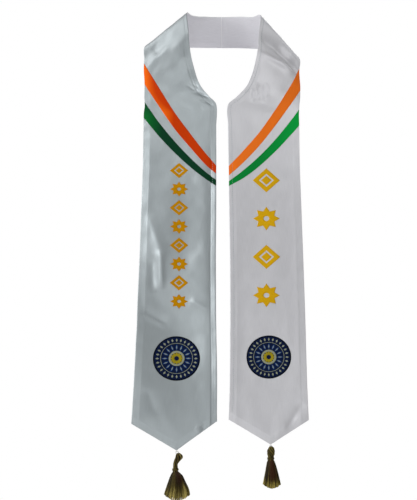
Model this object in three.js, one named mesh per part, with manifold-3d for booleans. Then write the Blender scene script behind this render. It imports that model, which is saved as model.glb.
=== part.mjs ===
// Graduation sash of two lined satin bands, sewn together at the back of the neck. Each band passes
// over a shoulder and hangs down the front to a pointed hem with a tassel.
// Millimetres. X runs to the right as seen from the front, Y to the back and Z up. The origin is the
// centre of the neck opening, at the height of the shoulder ridges.

import * as THREE from "three";
import { mergeVertices } from "three/addons/utils/BufferGeometryUtils.js";
import Module from "manifold-3d";

const wasm = await Module();
wasm.setup();

// Cloth
const CLOTH = 1.0; // thickness of a face or a lining
const GAP = 0.3; // clearance between neighbouring pieces
const ROW_STEP = 23; // longest step between rows of faces along a band
const COLUMNS = 8; // faces across a band, even, so that one edge runs to the point
const POINT_REACH = 150; // length of band over which the straight rows turn into the pointed hem

// Tassel
const HEAD_SIDES = 12;
const LOCKS = 13;
const LOCK_SIDES = 6;
const LOCK_SHARE = 0.27; // radius of a lock as a share of the skirt's radius
const LOCK_LEAST = 1.7; // radius of a lock where it leaves the neck
const LOOP_CORD = 0.9; // radius of the hanging loop's cord
const LOOP_WIDTH = 6.4; // outer width of the loop
const LOOP_BITE = 7; // how far the loop reaches down into the tassel's head
const BINDING_TURN = 0.7; // radius of one turn of the binding thread
const BINDING_TURNS = 3;

// Each section gives the band's inner edge, next to the neck, its outer edge, and how far the cloth
// between them bows outwards, or inwards where it is below zero.
const CENTRE_BACK = { place: "centre back", inner: [0, 72, -1], outer: [0, 98, -57], bow: 3 };

// Folds: the distance from the centre back, the place across from 0 at the inner edge to 1 at the
// outer, the half length and half width, the turn in degrees from the band's length, and the height.
const LEFT_BAND = {
  side: -1,
  point: { across: 0.474, drop: 51 },
  sections: [
    CENTRE_BACK,
    { place: "nape", inner: [-30, 66, -1], outer: [-62, 92, -57], bow: 3 },
    { place: "back of the shoulder", inner: [-54, 44, -3], outer: [-118, 62, -60], bow: 1 },
    { place: "shoulder ridge", inner: [-65, 10, -3], outer: [-145, 15, -64], bow: -1 },
    { place: "front of the shoulder", inner: [-62, -22, -38], outer: [-145, -8, -96], bow: -2 },
    { place: "upper neckline", inner: [-59, -48, -83], outer: [-145, -30, -133], bow: 1 },
    { place: "middle neckline", inner: [-51, -60, -119], outer: [-145, -42, -162], bow: 1 },
    { place: "lower neckline", inner: [-39, -68, -148], outer: [-144, -50, -181], bow: 1 },
    { place: "above the corner", inner: [-24, -74, -167], outer: [-145, -55, -194], bow: 0 },
    { place: "neckline corner", inner: [-11, -78, -182], outer: [-145, -59, -206], bow: 0 },
    { place: "below the corner", inner: [-11, -84, -221], outer: [-145, -66, -232], bow: 0 },
    { place: "chest", inner: [-11, -93, -285], outer: [-145, -78, -288], bow: -3 },
    { place: "below the chest", inner: [-11, -99, -358], outer: [-147, -88, -358], bow: -4 },
    { place: "waist", inner: [-12, -104, -540], outer: [-153, -98, -540], bow: -7 },
    { place: "hip", inner: [-10, -105, -685], outer: [-160, -102, -685], bow: -5 },
    { place: "hem corners", inner: [-10, -105, -760], outer: [-165, -103, -765], bow: -3 },
  ],
  folds: [
    { place: "shoulder", at: 190, across: 0.62, length: 55, width: 20, turn: 70, height: 3 },
    { place: "neckline corner", at: 262, across: 0.2, length: 45, width: 15, turn: 60, height: -2 },
    { place: "waist", at: 560, across: 0.7, length: 110, width: 26, turn: 6, height: 4 },
    { place: "hip", at: 738, across: 0.5, length: 100, width: 58, turn: -32, height: -16 },
    { place: "inner edge", at: 560, across: 0.16, length: 120, width: 30, turn: 0, height: 3 },
  ],
};

const RIGHT_BAND = {
  side: 1,
  point: { across: 0.524, drop: 45 },
  sections: [
    CENTRE_BACK,
    { place: "nape", inner: [32, 66, -1], outer: [62, 92, -59], bow: 3 },
    { place: "back of the shoulder", inner: [57, 44, -5], outer: [118, 62, -68], bow: 1 },
    { place: "shoulder ridge", inner: [73, 10, -7], outer: [146, 12, -87], bow: 0 },
    { place: "front of the shoulder", inner: [69, -22, -42], outer: [145, -8, -115], bow: -2 },
    { place: "upper neckline", inner: [66, -46, -83], outer: [145, -26, -140], bow: 0 },
    { place: "middle neckline", inner: [57, -60, -121], outer: [145, -40, -163], bow: 0 },
    { place: "lower neckline", inner: [45, -68, -148], outer: [143, -50, -183], bow: 0 },
    { place: "above the corner", inner: [27, -74, -168], outer: [142, -56, -198], bow: -1 },
    { place: "neckline corner", inner: [11, -78, -183], outer: [142, -60, -209], bow: -2 },
    { place: "below the corner", inner: [11, -84, -221], outer: [142, -67, -236], bow: -3 },
    { place: "chest", inner: [12, -93, -285], outer: [142, -78, -288], bow: -4 },
    { place: "below the chest", inner: [13, -99, -358], outer: [144, -88, -358], bow: -4 },
    { place: "waist", inner: [15, -104, -540], outer: [150, -98, -540], bow: -4 },
    { place: "hip", inner: [14, -105, -685], outer: [154, -102, -685], bow: -4 },
    { place: "hem corners", inner: [12, -105, -757], outer: [157, -103, -758], bow: -2 },
  ],
  folds: [
    { place: "shoulder", at: 205, across: 0.55, length: 60, width: 18, turn: 58, height: 4 },
    { place: "chest", at: 330, across: 0.35, length: 90, width: 22, turn: -10, height: 2 },
    { place: "waist", at: 600, across: 0.6, length: 150, width: 26, turn: -3, height: 2.5 },
    { place: "inner edge", at: 720, across: 0.14, length: 180, width: 18, turn: 0, height: -2 },
  ],
};

// Sections of a tassel: the drop below the hem's point, the shift sideways, and the half width and
// half depth. The skirt starts at the section named neck, and hem is its last.
const LEFT_TASSEL = {
  sections: [
    { place: "top", drop: 5, shift: 4, wide: 2.8, deep: 2.8 },
    { place: "upper head", drop: 8, shift: 5, wide: 6, deep: 5.8 },
    { place: "head", drop: 13, shift: 4.6, wide: 7.1, deep: 6.8 },
    { place: "lower head", drop: 18, shift: 1.8, wide: 6, deep: 6 },
    { place: "bend", drop: 24, shift: -1.5, wide: 4.4, deep: 4.6 },
    { place: "upper neck", drop: 32, shift: -1.7, wide: 4.6, deep: 4.6 },
    { place: "neck", drop: 37, shift: -1.7, wide: 4.6, deep: 4.6 },
    { place: "skirt top", drop: 45, shift: 0.4, wide: 11, deep: 8.5 },
    { place: "upper skirt", drop: 57, shift: 1.1, wide: 16.3, deep: 11 },
    { place: "lower skirt", drop: 70, shift: 1.9, wide: 21.6, deep: 13 },
    { place: "hem", drop: 80, shift: 1.4, wide: 24.2, deep: 14.5 },
  ],
  hemArc: 9, // how much lower the locks hang at the middle than at the sides
};

const RIGHT_TASSEL = {
  sections: [
    { place: "top", drop: 3.5, shift: 0.6, wide: 3, deep: 3 },
    { place: "upper head", drop: 6, shift: 1, wide: 5, deep: 5 },
    { place: "head", drop: 10.5, shift: 0.6, wide: 7, deep: 6.8 },
    { place: "lower head", drop: 17, shift: 0.5, wide: 6.9, deep: 6.6 },
    { place: "bend", drop: 20.5, shift: 0.2, wide: 6, deep: 6 },
    { place: "upper neck", drop: 23, shift: 0.2, wide: 5.2, deep: 5.2 },
    { place: "neck", drop: 27, shift: 0.2, wide: 5.2, deep: 5.2 },
    { place: "skirt top", drop: 31, shift: 0.4, wide: 7.2, deep: 6.8 },
    { place: "upper skirt", drop: 37, shift: 0.9, wide: 9, deep: 8.2 },
    { place: "lower skirt", drop: 50, shift: 1.7, wide: 12, deep: 10 },
    { place: "hem", drop: 72, shift: 2.1, wide: 16.8, deep: 13 },
  ],
  hemArc: 6,
};

const NECK = 6; // index of the section named neck in a tassel's table

// Materials
const SATIN = { color: 0xb4b9bd, roughness: 0.42, metalness: 0 };
const LINING = { color: 0xb6b5bc, roughness: 0.5, metalness: 0 };
const GOLD_THREAD = { color: 0x6b5a20, roughness: 0.4, metalness: 0.35 };
const PALE_CORD = { color: 0xcfd0cc, roughness: 0.7, metalness: 0 };

// Closed bodies

function closedBody(positions, faces) {
  const geometry = new THREE.BufferGeometry();
  geometry.setAttribute("position", new THREE.Float32BufferAttribute(positions.flat(), 3));
  let volume = 0;
  const corner = (index) => new THREE.Vector3(...positions[index]);
  for (const [a, b, c] of faces) {
    volume += corner(a).dot(corner(b).cross(corner(c)));
  }
  const outward = volume > 0 ? faces : faces.map(([a, b, c]) => [a, c, b]);
  geometry.setIndex(outward.flat());
  return geometry;
}

// A body between two grids of the same rows and columns, closed round their four edges.
function shell(top, bottom) {
  const rows = top.length;
  const columns = top[0].length;
  const positions = [...top.flat(), ...bottom.flat()];
  const upper = (row, column) => row * columns + column;
  const lower = (row, column) => rows * columns + upper(row, column);
  const faces = [];
  const quad = (a, b, c, d) => faces.push([a, b, c], [a, c, d]);
  for (let row = 0; row < rows - 1; row++) {
    for (let column = 0; column < columns - 1; column++) {
      const corners = [[row, column], [row + 1, column], [row + 1, column + 1], [row, column + 1]];
      const [a, b, c, d] = corners.map((at) => upper(...at));
      const [e, f, g, h] = corners.map((at) => lower(...at));
      quad(a, b, c, d);
      quad(e, h, g, f); // the same diagonal as above, so the layers keep their gap
    }
    for (const [column, from, to] of [[0, row + 1, row], [columns - 1, row, row + 1]]) {
      quad(upper(from, column), upper(to, column), lower(to, column), lower(from, column));
    }
  }
  for (let column = 0; column < columns - 1; column++) {
    for (const [row, from, to] of [[0, column, column + 1], [rows - 1, column + 1, column]]) {
      quad(upper(row, from), upper(row, to), lower(row, to), lower(row, from));
    }
  }
  return closedBody(positions, faces);
}

// A body through a list of rings of points, closed by a fan at each end.
function loft(rings) {
  const sides = rings[0].length;
  const positions = rings.flat();
  const faces = [];
  for (let ring = 0; ring < rings.length - 1; ring++) {
    for (let side = 0; side < sides; side++) {
      const a = ring * sides + side;
      const b = ring * sides + ((side + 1) % sides);
      faces.push([a, b, b + sides], [a, b + sides, a + sides]);
    }
  }
  const last = (rings.length - 1) * sides;
  for (let side = 1; side < sides - 1; side++) {
    faces.push([0, side + 1, side], [last, last + side, last + side + 1]);
  }
  return closedBody(positions, faces);
}

function solidOf(geometry) {
  return new wasm.Manifold(
    new wasm.Mesh({
      numProp: 3,
      vertProperties: new Float32Array(geometry.getAttribute("position").array),
      triVerts: new Uint32Array(geometry.index.array),
    }),
  );
}

function geometryOf(solid) {
  const mesh = solid.getMesh();
  const geometry = new THREE.BufferGeometry();
  geometry.setAttribute("position", new THREE.BufferAttribute(mesh.vertProperties, 3));
  geometry.setIndex(new THREE.BufferAttribute(mesh.triVerts, 1));
  return geometry;
}

// A three.js geometry with its shared vertices joined, so that it is closed.
function joined(geometry) {
  geometry.deleteAttribute("normal");
  geometry.deleteAttribute("uv");
  return mergeVertices(geometry, 1e-4);
}

// The bands

const vector = (values) => new THREE.Vector3(...values);

// Distance of each section from the centre back, along the middle of the band.
function stationsOf(sections) {
  const middles = sections.map(({ inner, outer }) => vector(inner).lerp(vector(outer), 0.5));
  const stations = [0];
  for (let index = 1; index < middles.length; index++) {
    stations.push(stations[index - 1] + middles[index].distanceTo(middles[index - 1]));
  }
  return stations;
}

// A smooth curve through values at unevenly spaced stations.
function smoothCurve(stations, values) {
  const last = stations.length - 1;
  const slope = (index) => {
    const from = Math.max(index - 1, 0);
    const to = Math.min(index + 1, last);
    return (values[to] - values[from]) / (stations[to] - stations[from]);
  };
  return (at) => {
    let index = 0;
    while (index < last - 1 && at > stations[index + 1]) index++;
    const span = stations[index + 1] - stations[index];
    const t = (at - stations[index]) / span;
    const rise = values[index + 1] - values[index];
    const start = slope(index) * span;
    const end = slope(index + 1) * span;
    return values[index] + t * (start + t * (3 * rise - 2 * start - end + t * (start + end - 2 * rise)));
  };
}

// Height of one fold at a place on the band: a rounded ridge, or a valley where it is negative.
function foldHeight(fold, at, sideways) {
  const turn = THREE.MathUtils.degToRad(fold.turn);
  const along = at - fold.at;
  const lengthwise = (along * Math.cos(turn) + sideways * Math.sin(turn)) / fold.length;
  const crosswise = (sideways * Math.cos(turn) - along * Math.sin(turn)) / fold.width;
  return fold.height * Math.exp(-(lengthwise ** 2) - crosswise ** 2);
}

// The middle of the cloth, as a function of the distance from the centre back and the place across.
function bandSurface(band) {
  const mirrored = {
    inner: [-band.sections[1].inner[0], ...band.sections[1].inner.slice(1)],
    outer: [-band.sections[1].outer[0], ...band.sections[1].outer.slice(1)],
    bow: band.sections[1].bow,
  };
  const sections = [mirrored, ...band.sections];
  const start = stationsOf(band.sections);
  const stations = [-start[1], ...start];
  const length = start[start.length - 1];
  const curve = (pick) => smoothCurve(stations, sections.map(pick));
  const inner = [0, 1, 2].map((axis) => curve((section) => section.inner[axis]));
  const outer = [0, 1, 2].map((axis) => curve((section) => section.outer[axis]));
  const bow = curve((section) => section.bow);

  const flat = (at, across) => {
    const from = vector(inner.map((axis) => axis(at)));
    const to = vector(outer.map((axis) => axis(at)));
    return from.lerp(to, across);
  };
  const outward = (surface, at, across) => {
    const step = 0.5;
    const lengthwise = surface(at + step, across).sub(surface(at - step, across));
    const crosswise = surface(at, across + 0.01).sub(surface(at, across - 0.01));
    const normal = crosswise.cross(lengthwise).multiplyScalar(-band.side);
    if (at === 0) normal.x = 0; // the two halves meet square at the centre back
    return normal.normalize();
  };
  const surface = (at, across) => {
    const width = flat(at, 1).distanceTo(flat(at, 0));
    const lift = band.folds.reduce(
      (sum, fold) => sum + foldHeight(fold, at, (across - fold.across) * width),
      bow(at) * 4 * across * (1 - across),
    );
    const place = flat(at, across).addScaledVector(outward(flat, at, across), lift);
    const toHem = Math.max(0, 1 - (length - at) / POINT_REACH);
    const beside = across < band.point.across ? band.point.across : 1 - band.point.across;
    const nearness = 1 - Math.abs(across - band.point.across) / beside;
    place.z -= band.point.drop * toHem ** 2 * nearness;
    return place;
  };
  return { surface, outward, stations: start };
}

// Rows at every section, and evenly between sections where they are further apart than ROW_STEP.
function rowsOf(stations) {
  const rows = [0];
  for (let index = 1; index < stations.length; index++) {
    const gap = stations[index] - stations[index - 1];
    const count = Math.ceil(gap / ROW_STEP);
    for (let step = 1; step <= count; step++) {
      rows.push(stations[index - 1] + (gap * step) / count);
    }
  }
  return rows;
}

// Columns across the band, with the middle one running to the point of the hem.
function columnsOf(point) {
  const half = COLUMNS / 2;
  return Array.from({ length: COLUMNS + 1 }, (_, column) =>
    column <= half
      ? (point.across * column) / half
      : point.across + ((1 - point.across) * (column - half)) / half,
  );
}

// One layer of cloth between two offsets from the middle surface.
function clothLayer(band, from, to) {
  const { surface, outward, stations } = bandSurface(band);
  const columns = columnsOf(band.point);
  const gridAt = (offset) =>
    rowsOf(stations).map((at) =>
      columns.map((across) => {
        const place = surface(at, across).addScaledVector(outward(surface, at, across), offset);
        if (at === 0) place.x = (band.side * GAP) / 2;
        return place.toArray();
      }),
    );
  return shell(gridAt(to), gridAt(from));
}

function pointOf(band) {
  const { surface, stations } = bandSurface(band);
  return surface(stations[stations.length - 1], band.point.across);
}

// The tassels

function ellipse(centre, wide, deep, sides) {
  return Array.from({ length: sides }, (_, side) => {
    const angle = (2 * Math.PI * side) / sides;
    return [centre[0] + wide * Math.cos(angle), centre[1] + deep * Math.sin(angle), centre[2]];
  });
}

const lockRadius = (section) => Math.max(LOCK_LEAST, section.wide * LOCK_SHARE);

// Head, neck and the core that the locks lie on.
function tasselCore(sections) {
  return loft(
    sections.map((section, index) => {
      const inset = index > NECK ? lockRadius(section) : 0;
      const centre = [section.shift, 0, -section.drop];
      return ellipse(centre, section.wide - inset, section.deep - inset, HEAD_SIDES);
    }),
  );
}

// One lock of the skirt, from inside the neck to the hem.
function tasselLock(tassel, angle) {
  const rings = tassel.sections.slice(NECK).map((section, index) => {
    const radius = lockRadius(section);
    const out = index === 0 ? 0.35 : 1;
    const towards = [Math.cos(angle), Math.sin(angle)];
    const centre = [
      section.shift + (section.wide - radius) * towards[0] * out,
      (section.deep - radius) * towards[1] * out,
      -section.drop,
    ];
    if (section.place === "hem") centre[2] -= tassel.hemArc * (1 - towards[0] ** 2);
    return ellipse(centre, radius, radius, LOCK_SIDES);
  });
  return loft(rings);
}

// The hanging loop, an oval ring from the hem's point down through the tassel's head.
function loopGeometry(sections, clearance) {
  const head = sections[2];
  const ring = LOOP_WIDTH / 2 - LOOP_CORD;
  const stretch = (sections[0].drop + LOOP_BITE - GAP - LOOP_WIDTH) / 2;
  const loop = joined(new THREE.TorusGeometry(ring, LOOP_CORD + clearance, 6, 16));
  const places = loop.getAttribute("position");
  for (let index = 0; index < places.count; index++) {
    places.setY(index, places.getY(index) + stretch * Math.sign(Math.round(places.getY(index))));
  }
  loop.translate(0, -(GAP + stretch + LOOP_WIDTH / 2), 0);
  loop.rotateX(Math.PI / 2);
  loop.rotateY(-Math.atan2(head.shift, head.drop));
  return loop;
}

function tasselGeometry(tassel) {
  let solid = solidOf(tasselCore(tassel.sections));
  for (let lock = 0; lock < LOCKS; lock++) {
    solid = solid.add(solidOf(tasselLock(tassel, (2 * Math.PI * (lock + 0.5)) / LOCKS)));
  }
  solid = solid.subtract(solidOf(loopGeometry(tassel.sections, GAP)));
  return geometryOf(solid);
}

// Turns of thread wound side by side round the neck, as one ring.
function bindingGeometry(tassel) {
  const [above, below] = tassel.sections.slice(NECK - 1, NECK + 1);
  const inner = Math.max(above.wide, above.deep) + GAP;
  const half = BINDING_TURNS * BINDING_TURN;
  const profile = [new THREE.Vector2(inner, -half)];
  for (let turn = 0; turn < BINDING_TURNS; turn++) {
    const middle = (2 * turn + 1) * BINDING_TURN - half;
    for (const degrees of [-60, 0, 60]) {
      const angle = THREE.MathUtils.degToRad(degrees);
      const radius = inner + BINDING_TURN * (1 + Math.cos(angle));
      profile.push(new THREE.Vector2(radius, middle + BINDING_TURN * Math.sin(angle)));
    }
  }
  profile.push(new THREE.Vector2(inner, half), new THREE.Vector2(inner, -half));
  const ring = joined(new THREE.LatheGeometry(profile, HEAD_SIDES));
  ring.rotateX(Math.PI / 2);
  ring.translate(above.shift, 0, -(above.drop + below.drop) / 2);
  return ring;
}

// Assembly

const sash = new THREE.Group();

function addPiece(parent, name, geometry, look) {
  const mesh = new THREE.Mesh(geometry, new THREE.MeshStandardMaterial(look));
  mesh.name = name;
  parent.add(mesh);
}

for (const [name, band, tassel] of [
  ["left", LEFT_BAND, LEFT_TASSEL],
  ["right", RIGHT_BAND, RIGHT_TASSEL],
]) {
  addPiece(sash, `face_${name}`, clothLayer(band, GAP / 2, GAP / 2 + CLOTH), SATIN);
  addPiece(sash, `lining_${name}`, clothLayer(band, -GAP / 2 - CLOTH, -GAP / 2), LINING);
  const hanging = new THREE.Group();
  hanging.position.copy(pointOf(band));
  addPiece(hanging, `tassel_loop_${name}`, loopGeometry(tassel.sections, 0), PALE_CORD);
  addPiece(hanging, `tassel_${name}`, tasselGeometry(tassel), GOLD_THREAD);
  addPiece(hanging, `tassel_binding_${name}`, bindingGeometry(tassel), GOLD_THREAD);
  sash.add(hanging);
}

export default sash;
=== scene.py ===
import math

import bpy
import numpy as np
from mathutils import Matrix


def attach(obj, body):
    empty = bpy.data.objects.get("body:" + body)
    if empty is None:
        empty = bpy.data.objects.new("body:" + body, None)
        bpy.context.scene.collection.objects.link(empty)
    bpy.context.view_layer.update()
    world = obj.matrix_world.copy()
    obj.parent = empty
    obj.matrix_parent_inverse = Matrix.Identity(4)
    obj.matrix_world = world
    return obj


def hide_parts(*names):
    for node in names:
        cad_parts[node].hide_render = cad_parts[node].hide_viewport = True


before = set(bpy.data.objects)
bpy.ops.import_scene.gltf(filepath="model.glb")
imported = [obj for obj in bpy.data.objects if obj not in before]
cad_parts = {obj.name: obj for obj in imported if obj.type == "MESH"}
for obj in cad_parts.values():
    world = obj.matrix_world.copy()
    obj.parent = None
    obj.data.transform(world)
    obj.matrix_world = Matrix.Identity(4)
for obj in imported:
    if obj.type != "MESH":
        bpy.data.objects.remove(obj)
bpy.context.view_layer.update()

# Camera: level, three metres in front of the sash
PICTURE_HEIGHT = 500  # pixels
PIXEL = 0.00188  # metres of the sash's upright plane that one pixel covers
CAMERA_DISTANCE = 3.0
SENSOR = 36.0
PICTURE_CENTRE = (-0.025, -0.449)  # X and Z

camera_data = bpy.data.cameras.new("camera")
camera_data.sensor_width = SENSOR
camera_data.lens = SENSOR * CAMERA_DISTANCE / (PICTURE_HEIGHT * PIXEL)
camera = bpy.data.objects.new("camera", camera_data)
camera.location = (PICTURE_CENTRE[0], -CAMERA_DISTANCE, PICTURE_CENTRE[1])
camera.rotation_euler = (math.radians(90), 0, 0)
add_object = bpy.context.scene.collection.objects.link
add_object(camera)
bpy.context.scene.camera = camera
bpy.context.scene.view_settings.view_transform = "Standard"

# Cloth
CLOTH = 1.0  # thickness of a face or a lining
GAP = 0.3  # clearance between neighbouring pieces
POINT_REACH = 150  # length of band over which the straight rows turn into the pointed hem
EDGE_ROLL = 1.1  # width over which a sewn edge rounds off
EDGE_LEAST = 0.28  # share of the thickness that is left at the very edge
STRIP_WIDTH = 11.5  # width of the pressed strip along each edge
STRIP_BLEND = 1.5  # width over which it starts to turn back
STRIP_STEP = 2.4  # width over which the cloth steps down to it
STRIP_START = (185, 245)  # distances from the centre back over which the strips begin
FAR = 1e6  # a distance past any edge
PRINT_LIFT = 0.2
PRINT_DEPTH = 0.05  # how far a print reaches down into the cloth
PRESSED_SEAM = {"height": 0.7, "end": (8.4, 11.2)}  # allowance pressed to one side at the centre back
SEAM_GROOVE = {"share": 0.7, "width": 0.9}  # share of the thickness that is lost at the centre back
SEAM_CALM = 14  # distance from the centre back over which the wrinkles begin
SEAM_REACH = 3  # distance in which the halves are held off the centre back
SEAM_SLOPE = 0.3
SLOW_WAVES = (9, 70, 150)  # number of waves, the shortest and the longest
QUICK_WAVES = (16, 22, 50)
QUICK_HEIGHT = 0.2
CREASE_FALL = 1.3  # how steeply a crease's sides fall
STEP_ALONG = 0.5  # half the step by which slopes are measured
STEP_ACROSS = 0.01
FACE_STEP = 1.9  # size of the mesh's cells
LINING_STEP = 2.8
STRIPE_STEP = 2.0
ROW_STRETCH = 1.08  # rows are this much further apart than columns
EVEN_WIDTH = 53.6  # width that the even columns of either half cover
STITCH_INSET = 6.5  # distance of the topstitching from the inner edge
STITCH_GROOVE = {"depth": 0.16, "width": 0.8}
STITCH_ENDS = (8, 18)  # distances of the first and the last stitch from the band's ends
STITCH_STEP = 3.3
STITCH_LENGTH = 2.5
STITCH_RADIUS = 0.3

# Sections: the place, and for the left half and then the right one the band's inner edge, next to the
# neck, its outer edge, and how far the cloth between them bows outwards, or inwards below zero.
SECTIONS = (
    ("centre back", (0, 72, -1), (0, 98, -57), 3, (0, 72, -1), (0, 98, -57), 3),
    ("nape", (-30, 66, -1), (-62, 92, -57), 3, (32, 66, -1), (62, 92, -59), 3),
    ("back of the shoulder", (-54, 44, -3), (-118, 62, -60), 1, (57, 44, -5), (118, 62, -68), 1),
    ("shoulder ridge", (-65, 10, -3), (-145, 15, -64), -1, (73, 10, -7), (146, 12, -87), 0),
    ("front of the shoulder", (-62, -22, -38), (-145, -8, -96), -2, (69, -22, -42), (145, -8, -115), -2),
    ("upper neckline", (-59, -48, -83), (-145, -30, -133), 1, (66, -46, -83), (145, -26, -140), 0),
    ("middle neckline", (-51, -60, -119), (-145, -42, -162), 1, (57, -60, -121), (145, -40, -163), 0),
    ("lower neckline", (-39, -68, -148), (-144, -50, -181), 1, (45, -68, -148), (143, -50, -183), 0),
    ("above the corner", (-24, -74, -167), (-145, -55, -194), 0, (27, -74, -168), (142, -56, -198), -1),
    ("neckline corner", (-11, -78, -182), (-145, -59, -206), 0, (11, -78, -183), (142, -60, -209), -2),
    ("below the corner", (-11, -84, -221), (-145, -66, -232), 0, (11, -84, -221), (142, -67, -236), -3),
    ("chest", (-11, -93, -285), (-145, -78, -288), -3, (12, -93, -285), (142, -78, -288), -4),
    ("below the chest", (-11, -99, -358), (-147, -88, -358), -4, (13, -99, -358), (144, -88, -358), -4),
    ("waist", (-12, -104, -540), (-153, -98, -540), -7, (15, -104, -540), (150, -98, -540), -4),
    ("hip", (-10, -105, -685), (-160, -102, -685), -5, (14, -105, -685), (154, -102, -685), -4),
    ("hem corners", (-10, -105, -760), (-165, -103, -765), -3, (12, -105, -757), (157, -103, -758), -2),
)
INNER, OUTER, BOW = slice(0, 3), slice(3, 6), 6  # the columns of one half's row of numbers
RIDGE_SECTION = 3

# Strips: how far back the pressed strip along an edge turns, and the step down to it.
# Folds: the distance from the centre back, the place across from 0 at the inner edge to 1 at the
# outer, the half length and half width, the turn in degrees from the band's length, and the height.
FOLD_COLUMNS = ("at", "across", "length", "width", "turn", "height")

# Creases in front of the shoulder ridge and behind it: their two ends as seen from the front (X, Z),
# the half width and the height, which is below zero for a valley.
CREASE_COLUMNS = ("start", "end", "width", "height")

LEFT = {
    "name": "left",
    "side": -1,
    "point": {"across": 0.474, "drop": 51},
    "strips": {"inner": (0.2, 1.3), "outer": (3.2, 0.2), "hem": (2.0, 0.2)},
    "folds": [
        (190, 0.62, 55, 20, 70, 3),
        (262, 0.2, 45, 15, 60, -2),
        (560, 0.7, 110, 26, 6, 4),
        (738, 0.5, 100, 58, -32, -16),
        (560, 0.16, 120, 30, 0, 3),
    ],
    "front_creases": [
        ((-132, -68), (-113, -86), 5, -1.0),
        ((-58, -60), (-140, -98), 14, 2.5),
        ((-17, -173), (-68, -143), 2.8, -2.0),
        ((-20, -166), (-59, -159), 2.6, -1.5),
        ((-16, -186), (-42, -174), 2.6, -1.6),
        ((-42, -150), (-62, -142), 2.4, -1.2),
        ((-14, -196), (-40, -186), 2.6, 0.6),
        ((-56, -70), (-46, -140), 2.6, -1.2),
        ((-21, -208), (-21, -748), 4.6, -2.4),
        ((-158, -410), (-161, -590), 22, -5.0),
        ((-134, -380), (-106, -470), 8, 2.6),
        ((-112, -445), (-111, -525), 5, 5.0),
        ((-128, -455), (-126, -530), 7, -3.6),
        ((-60, -540), (-28, -556), 5, 1.8),
        ((-150, -560), (-95, -588), 9, -2.5),
        ((-40, -768), (-30, -786), 3.5, -1.3),
        ((-50, -772), (-38, -796), 4, 1.0),
        ((-138, -700), (-120, -752), 8, -1.2),
    ],
    "back_creases": [
        ((-4, -45), (-58, -46), 3, 1.8),
        ((-32, -6), (-16, -18), 3.5, -0.8),
        ((-48, -8), (-34, -22), 4, -0.7),
    ],
    "waves": 0.7,
    "seed": 11,
}

RIGHT = {
    "name": "right",
    "side": 1,
    "point": {"across": 0.524, "drop": 45},
    "strips": {"inner": (1.8, 0.2), "outer": (0.4, 0.3), "hem": (2.0, 0.2)},
    "folds": [
        (205, 0.55, 60, 18, 58, 4),
        (330, 0.35, 90, 22, -10, 2),
        (600, 0.6, 150, 26, -3, 2.5),
        (720, 0.14, 180, 18, 0, -2),
    ],
    "front_creases": [
        ((62, -78), (140, -125), 5, 4.5),
        ((66, -50), (142, -98), 13, -7.5),
        ((55, -148), (58, -178), 2.4, -2.2),
        ((64, -140), (67, -176), 2.4, -2.4),
        ((73, -143), (77, -180), 2.6, -2.4),
        ((80, -140), (84, -168), 3, 1.1),
        ((34, -170), (60, -128), 3, -1.3),
        ((128, -240), (138, -735), 5, 0.5),
        ((112, -520), (124, -640), 10, 0.8),
        ((20, -500), (140, -496), 9, 0.7),
        ((150, -725), (118, -775), 7, -2.6),
        ((112, -776), (136, -748), 5, -1.1),
        ((96, -786), (120, -770), 5, 0.9),
    ],
    "back_creases": [
        ((4, -50), (60, -52), 3, 1.3),
        ((28, -4), (46, -22), 4, -0.9),
    ],
    "waves": 0.4,
    "seed": 23,
}

# Stripes on each face: places along their edges as seen from the front, X and the upper and lower Z.
STRIPES = {
    "left": {
        "orange": [
            (-142, -106, -144), (-118, -146, -181.5), (-88, -195, -226),
            (-59, -235, -261), (-30, -273, -294), (-13, -293, -308.5),
        ],
        "green": [
            (-141, -178, -209), (-118, -212, -238), (-88, -249, -270),
            (-59, -280, -297), (-30, -307, -320), (-13, -320, -331),
        ],
    },
    "right": {
        "orange": [
            (16, -292, -310), (40, -266, -288), (69, -232, -257),
            (99, -189, -219), (129, -140.5, -177), (142, -115, -158),
        ],
        "green": [
            (16, -321, -330.5), (40, -302.5, -317), (69, -276.5, -295),
            (98, -246, -268), (128, -209, -236), (141, -191, -221),
        ],
    },
}

# Gold marks, one above another, and the emblem below them.
MARKS = {
    "left": {"x": -78.6, "top": -304, "step": -34.1, "count": 8, "half_width": 17, "half_height": 14},
    "right": {"x": 80.4, "top": -322, "step": -69.8, "count": 4, "half_width": 25, "half_height": 22},
}
EMBLEMS = {
    "left": {"x": -83.2, "z": -647.1, "wide": 43.2, "high": 40.3},
    "right": {"x": 84.6, "z": -643.5, "wide": 40.7, "high": 39.2},
}

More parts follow.
